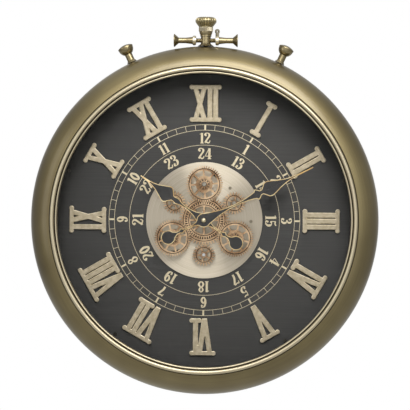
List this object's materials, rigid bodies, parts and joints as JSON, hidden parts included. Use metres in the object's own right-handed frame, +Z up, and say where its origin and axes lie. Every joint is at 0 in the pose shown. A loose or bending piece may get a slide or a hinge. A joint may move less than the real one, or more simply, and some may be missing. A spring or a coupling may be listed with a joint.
{
  "type": "wall clock",
  "caption": "Round brass wall clock shaped like a pocket watch, with a crown and pushers on top, raised Roman numerals and a turning gear train on its dial.",
  "frame": {"origin": "on the axis of the hands, in the wall plane where the rear rim of the case lies", "axes": "+Z up to the crown, the dial faces -Y, +Y into the wall, +X to the right as seen from the front"},
  "size_m": [0.46, 0.0754, 0.4983],
  "materials": {
    "antique_brass": "antique brass, satin lacquer",
    "bezel_brass": "antique brass, polished highlights",
    "collar_brass": "pale brass, satin",
    "clear_glass": "clear float glass",
    "seal_rubber": "matt black rubber",
    "dial_enamel": "matt charcoal enamel with a faint brushed grain",
    "plate_champagne": "champagne anodised, fine satin",
    "numeral_metal": "antique silver gilt paint",
    "steel": "zinc plated steel",
    "dark_steel": "blackened steel",
    "back_metal": "black powder coat",
    "shell_plastic": "moulded black ABS",
    "wheel_plastic": "moulded natural acetal",
    "gear_copper": "rose gold plate, lacquered",
    "hand_black": "black enamel with gilt edge",
    "cap_cream": "pale gilt",
    "movement_brass": "turned brass",
    "cell_skin": "plain printed sleeve"
  },
  "bodies": {
    "clock_body": {"case_shell": "antique_brass", "dial_ring": "back_metal", "bezel_ring": "bezel_brass", "glass": "clear_glass", "glass_gasket": "seal_rubber", "dial_plate": "dial_enamel", "centre_plate": "plate_champagne", "numeral_01": "numeral_metal", "numeral_02": "numeral_metal", "numeral_03": "numeral_metal", "numeral_04": "numeral_metal", "numeral_05": "numeral_metal", "numeral_06": "numeral_metal", "numeral_07": "numeral_metal", "numeral_08": "numeral_metal", "numeral_09": "numeral_metal", "numeral_10": "numeral_metal", "numeral_11": "numeral_metal", "numeral_12": "numeral_metal", "pillar_screws": "dark_steel", "plate_screws": "dark_steel", "back_cover": "back_metal", "hanger_plate": "steel", "hanger_rivets": "steel", "crown_stem": "antique_brass", "crown_knob": "antique_brass", "cross_bar": "antique_brass", "bar_ends": "antique_brass", "bar_collars": "collar_brass", "pushers": "antique_brass", "ornament_nuts": "steel", "movement_case": "shell_plastic", "movement_cover": "shell_plastic", "movement_bushing": "movement_brass", "movement_nuts": "movement_brass", "batteries": "cell_skin", "battery_contacts": "steel", "drive_case": "shell_plastic", "drive_cover": "shell_plastic", "drive_motor": "steel", "gear_posts": "steel"},
    "minute_train": {"minute_shaft": "steel", "minute_hand": "hand_black", "hand_cap": "cap_cream"},
    "hour_train": {"hour_tube": "movement_brass", "hour_hand": "hand_black"},
    "motion_wheel": {"motion_wheel": "wheel_plastic"},
    "time_set_knob": {"time_set_knob": "shell_plastic"},
    "centre_gear": {"centre_gear": "gear_copper"},
    "large_gear_top": {"large_gear_top": "gear_copper"},
    "large_gear_right": {"large_gear_right": "gear_copper"},
    "large_gear_left": {"large_gear_left": "gear_copper"},
    "small_gear_right": {"small_gear_right": "gear_copper"},
    "small_gear_left": {"small_gear_left": "gear_copper"},
    "output_train": {"output_shaft": "steel", "small_gear_bottom": "gear_copper"},
    "reduction_wheel": {"reduction_wheel": "wheel_plastic"},
    "motor_pinion": {"motor_pinion": "movement_brass"},
    "battery_door": {"battery_door": "shell_plastic"},
    "drive_switch": {"drive_switch": "wheel_plastic"}
  },
  "joints": [
    {"name": "minute_turn", "type": "hinge", "parent": "clock_body", "child": "minute_train", "pos_m": [0, -0.03, 0], "axis": [0, 1, 0], "continuous": true},
    {"name": "hour_turn", "type": "hinge", "parent": "clock_body", "child": "hour_train", "pos_m": [0, -0.03, 0], "axis": [0, 1, 0], "continuous": true},
    {"name": "motion_turn", "type": "hinge", "parent": "clock_body", "child": "motion_wheel", "pos_m": [0.012, -0.02, 0], "axis": [0, 1, 0], "continuous": true},
    {"name": "set_knob_turn", "type": "hinge", "parent": "clock_body", "child": "time_set_knob", "pos_m": [0, -0.02, 0.015], "axis": [0, 1, 0], "continuous": true},
    {"name": "centre_gear_turn", "type": "hinge", "parent": "clock_body", "child": "centre_gear", "pos_m": [0, -0.035, 0], "axis": [0, 1, 0], "continuous": true},
    {"name": "large_top_turn", "type": "hinge", "parent": "clock_body", "child": "large_gear_top", "pos_m": [0, -0.03, 0.0475], "axis": [0, 1, 0], "continuous": true},
    {"name": "large_right_turn", "type": "hinge", "parent": "clock_body", "child": "large_gear_right", "pos_m": [0.04114, -0.03, -0.02375], "axis": [0, 1, 0], "continuous": true},
    {"name": "large_left_turn", "type": "hinge", "parent": "clock_body", "child": "large_gear_left", "pos_m": [-0.04114, -0.03, -0.02375], "axis": [0, 1, 0], "continuous": true},
    {"name": "small_right_turn", "type": "hinge", "parent": "clock_body", "child": "small_gear_right", "pos_m": [0.03951, -0.03, 0.02281], "axis": [0, 1, 0], "continuous": true},
    {"name": "small_left_turn", "type": "hinge", "parent": "clock_body", "child": "small_gear_left", "pos_m": [-0.03951, -0.03, 0.02281], "axis": [0, 1, 0], "continuous": true},
    {"name": "output_turn", "type": "hinge", "parent": "clock_body", "child": "output_train", "pos_m": [0, -0.02, -0.04562], "axis": [0, 1, 0], "continuous": true},
    {"name": "reduction_turn", "type": "hinge", "parent": "clock_body", "child": "reduction_wheel", "pos_m": [0.01204, -0.02, -0.05406], "axis": [0, 1, 0], "continuous": true},
    {"name": "motor_turn", "type": "hinge", "parent": "clock_body", "child": "motor_pinion", "pos_m": [0.00009, -0.02, -0.06096], "axis": [0, 1, 0], "continuous": true},
    {"name": "battery_door_slide", "type": "slide", "parent": "clock_body", "child": "battery_door", "axis": [0, 0, -1], "range_m": [0, 0.026]},
    {"name": "switch_slide", "type": "slide", "parent": "clock_body", "child": "drive_switch", "axis": [0, 0, -1], "range_m": [0, 0.004]}
  ],
  "couplings": [
    {"joint": "hour_turn", "follows": "minute_turn", "ratio": 0.083333},
    {"joint": "motion_turn", "follows": "minute_turn", "ratio": -0.33333},
    {"joint": "set_knob_turn", "follows": "minute_turn", "ratio": -1},
    {"joint": "large_top_turn", "follows": "centre_gear_turn", "ratio": -1.0213},
    {"joint": "large_right_turn", "follows": "centre_gear_turn", "ratio": -1.0213},
    {"joint": "large_left_turn", "follows": "centre_gear_turn", "ratio": -1.0213},
    {"joint": "small_right_turn", "follows": "centre_gear_turn", "ratio": -2.3182},
    {"joint": "small_left_turn", "follows": "centre_gear_turn", "ratio": -2.3182},
    {"joint": "output_turn", "follows": "centre_gear_turn", "ratio": -2.3182},
    {"joint": "reduction_turn", "follows": "centre_gear_turn", "ratio": 7.4182},
    {"joint": "motor_turn", "follows": "centre_gear_turn", "ratio": -26.705}
  ]
}
